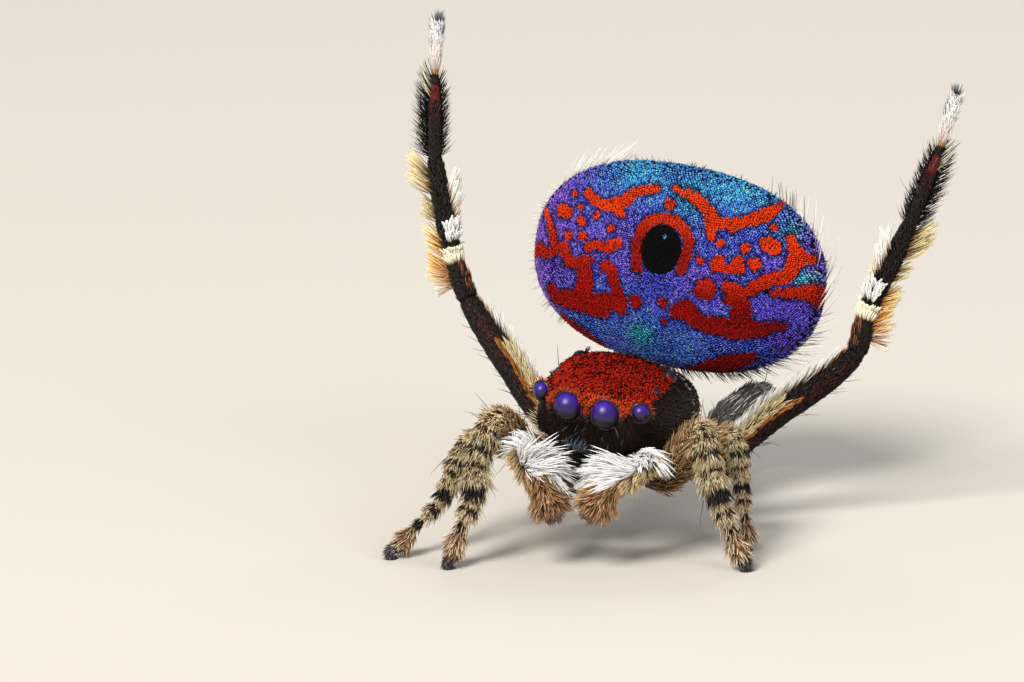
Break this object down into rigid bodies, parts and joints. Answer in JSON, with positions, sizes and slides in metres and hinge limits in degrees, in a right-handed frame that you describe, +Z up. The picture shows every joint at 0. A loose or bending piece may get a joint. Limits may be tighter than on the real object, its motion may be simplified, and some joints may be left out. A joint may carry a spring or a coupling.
{
  "type": "peacock spider",
  "caption": "Life-size still model of a male peacock spider in display: six legs stand, two are raised, and the broad domed abdomen is lifted above the body.",
  "frame": {"origin": "middle of the outline's footprint, on the floor that the six standing feet rest on", "axes": "+Z up from the floor, -Y the way the spider faces, +X to the spider's own left"},
  "size_m": [0.006, 0.004, 0.005],
  "materials": {
    "carapace": "dark brown cuticle with a red cap of fine scale-hairs",
    "dark_cuticle": "dark brown, slightly glossy cuticle",
    "eye_glass": "glossy dark violet lens",
    "abdomen_scales": "fine blue, violet and red scales with a black eye spot and a pale fringe",
    "banded_leg_coat": "short tan coat with black bands",
    "raised_leg_coat": "black coat with cream and amber brushes",
    "grey_leg_coat": "grey and tan coat with dark bands",
    "palp_coat": "white fringe above tan bristles"
  },
  "bodies": {
    "root": {"abdomen": "abdomen_scales", "cephalothorax": "carapace", "chelicera_left": "dark_cuticle", "chelicera_right": "dark_cuticle", "eye_anterior_lateral_left": "eye_glass", "eye_anterior_lateral_right": "eye_glass", "eye_anterior_median_left": "eye_glass", "eye_anterior_median_right": "eye_glass", "eye_posterior_lateral_left": "eye_glass", "eye_posterior_lateral_right": "eye_glass", "eye_posterior_median_left": "eye_glass", "eye_posterior_median_right": "eye_glass", "fang_left": "dark_cuticle", "fang_right": "dark_cuticle", "leg1_left_femur": "banded_leg_coat", "leg1_left_metatarsus_tarsus": "banded_leg_coat", "leg1_left_patella_tibia": "banded_leg_coat", "leg1_right_femur": "banded_leg_coat", "leg1_right_metatarsus_tarsus": "banded_leg_coat", "leg1_right_patella_tibia": "banded_leg_coat", "leg2_left_femur": "banded_leg_coat", "leg2_left_metatarsus_tarsus": "banded_leg_coat", "leg2_left_patella_tibia": "banded_leg_coat", "leg2_right_femur": "banded_leg_coat", "leg2_right_metatarsus_tarsus": "banded_leg_coat", "leg2_right_patella_tibia": "banded_leg_coat", "leg3_left_femur": "raised_leg_coat", "leg3_left_metatarsus": "raised_leg_coat", "leg3_left_patella": "raised_leg_coat", "leg3_left_tarsus": "raised_leg_coat", "leg3_left_tibia": "raised_leg_coat", "leg3_right_femur": "raised_leg_coat", "leg3_right_metatarsus": "raised_leg_coat", "leg3_right_patella": "raised_leg_coat", "leg3_right_tarsus": "raised_leg_coat", "leg3_right_tibia": "raised_leg_coat", "leg4_left_femur": "grey_leg_coat", "leg4_left_metatarsus_tarsus": "grey_leg_coat", "leg4_left_patella_tibia": "grey_leg_coat", "leg4_right_femur": "grey_leg_coat", "leg4_right_metatarsus_tarsus": "grey_leg_coat", "leg4_right_patella_tibia": "grey_leg_coat", "palp_left_cymbium": "palp_coat", "palp_left_femur": "palp_coat", "palp_left_tibia": "palp_coat", "palp_right_cymbium": "palp_coat", "palp_right_femur": "palp_coat", "palp_right_tibia": "palp_coat", "pedicel": "dark_cuticle", "spinnerets": "grey_leg_coat"}
  },
  "joints": []
}
